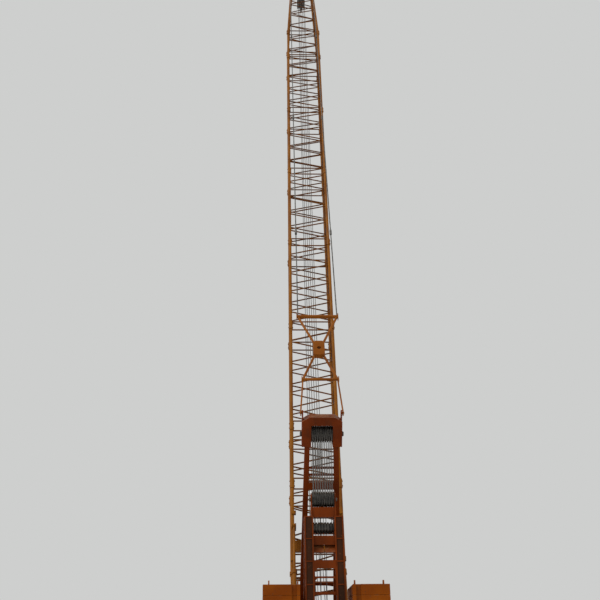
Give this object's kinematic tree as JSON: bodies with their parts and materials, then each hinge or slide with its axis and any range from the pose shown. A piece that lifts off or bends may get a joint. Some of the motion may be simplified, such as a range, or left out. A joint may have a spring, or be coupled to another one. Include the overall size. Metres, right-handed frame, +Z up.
{
  "type": "crawler crane with lattice boom, 1:2 scale model",
  "caption": "Lattice boom crawler crane at 1:2 scale: tracks, slewing upperworks, live mast with pendants, counterweight stacks, cab and hook block.",
  "frame": {"origin": "on the ground, on the slewing axis, midway between the tracks", "axes": "+X to the machine's right, +Y forward, +Z up"},
  "size_m": [3.5, 9.9412, 26.1599],
  "materials": {
    "frame_orange": "worn satin paint",
    "boom_ochre": "worn satin paint",
    "counterweight_orange": "satin paint",
    "track_steel": "worn, dusty",
    "roller_steel": "greasy",
    "ring_steel": "oiled",
    "winch_dark": "satin",
    "sheave_dark": "greasy",
    "pendant_steel": "galvanised, dull",
    "engine_grey": "painted",
    "grating": "galvanised",
    "glass": "clear, lightly tinted",
    "seat_black": "woven",
    "console_grey": "grained",
    "hook_yellow": "worn",
    "rope": "greased wire rope"
  },
  "bodies": {
    "base": {"carbody": "frame_orange", "track_frame_left": "frame_orange", "track_frame_right": "frame_orange", "track_left": "track_steel", "track_right": "track_steel", "rollers": "roller_steel", "drive_wheels": "roller_steel", "idler_wheels": "roller_steel"},
    "upperworks": {"slew_ring": "ring_steel", "turntable_frame": "frame_orange", "hoist_winches": "winch_dark", "luffing_winch": "winch_dark", "gantry": "frame_orange", "gantry_sheaves": "sheave_dark", "engine_housing": "frame_orange", "engine_block": "engine_grey", "tank_housing": "frame_orange", "walkways": "grating", "counterweight_tray": "frame_orange", "counterweights_left": "counterweight_orange", "counterweights_right": "counterweight_orange", "cab_shell": "frame_orange", "cab_glass": "glass", "cab_seat": "seat_black", "cab_console": "console_grey"},
    "boom": {"boom_heel": "boom_ochre", "boom_insert_1": "boom_ochre", "boom_insert_2": "boom_ochre", "boom_insert_3": "boom_ochre", "boom_insert_4": "boom_ochre", "boom_insert_5": "boom_ochre", "boom_insert_6": "boom_ochre", "boom_insert_7": "boom_ochre", "boom_head": "boom_ochre", "boom_head_sheaves": "sheave_dark", "backstops": "boom_ochre", "pendants": "pendant_steel", "pendant_spreader": "frame_orange"},
    "mast": {"mast": "frame_orange", "mast_sheaves": "sheave_dark"},
    "hook_block": {"hook_block": "hook_yellow", "hook_falls": "rope"},
    "cab_door": {"cab_door": "frame_orange", "cab_door_glass": "glass"},
    "hood_door_front": {"hood_door_front": "frame_orange"},
    "hood_door_rear": {"hood_door_rear": "frame_orange"}
  },
  "joints": [
    {"name": "slew", "type": "hinge", "parent": "base", "child": "upperworks", "pos_m": [0, 0, 0.665], "axis": [0, 0, 1], "continuous": true},
    {"name": "boom_luff", "type": "hinge", "parent": "upperworks", "child": "boom", "pos_m": [0, 0.65, 1.2], "axis": [1, 0, 0], "range_deg": [-75.5, 6]},
    {"name": "mast_follow", "type": "hinge", "parent": "upperworks", "child": "mast", "pos_m": [0, 0.65, 1.2], "axis": [1, 0, 0], "range_deg": [-75.5, 6]},
    {"name": "hook_swing", "type": "hinge", "parent": "boom", "child": "hook_block", "pos_m": [0, 7.47319, 25.826], "axis": [1, 0, 0], "range_deg": [-6, 75.5]},
    {"name": "cab_door_hinge", "type": "hinge", "parent": "upperworks", "child": "cab_door", "pos_m": [1.246, 0.06, 1.2875], "axis": [0, 0, -1], "range_deg": [0, 100]},
    {"name": "hood_door_rear_hinge", "type": "hinge", "parent": "upperworks", "child": "hood_door_rear", "pos_m": [-1.206, -0.92, 1.225], "axis": [0, 0, 1], "range_deg": [0, 110]},
    {"name": "hood_door_front_hinge", "type": "hinge", "parent": "upperworks", "child": "hood_door_front", "pos_m": [-1.206, 0.54, 1.225], "axis": [0, 0, -1], "range_deg": [0, 110]}
  ],
  "couplings": [
    {"joint": "mast_follow", "follows": "boom_luff", "ratio": 1}
  ]
}
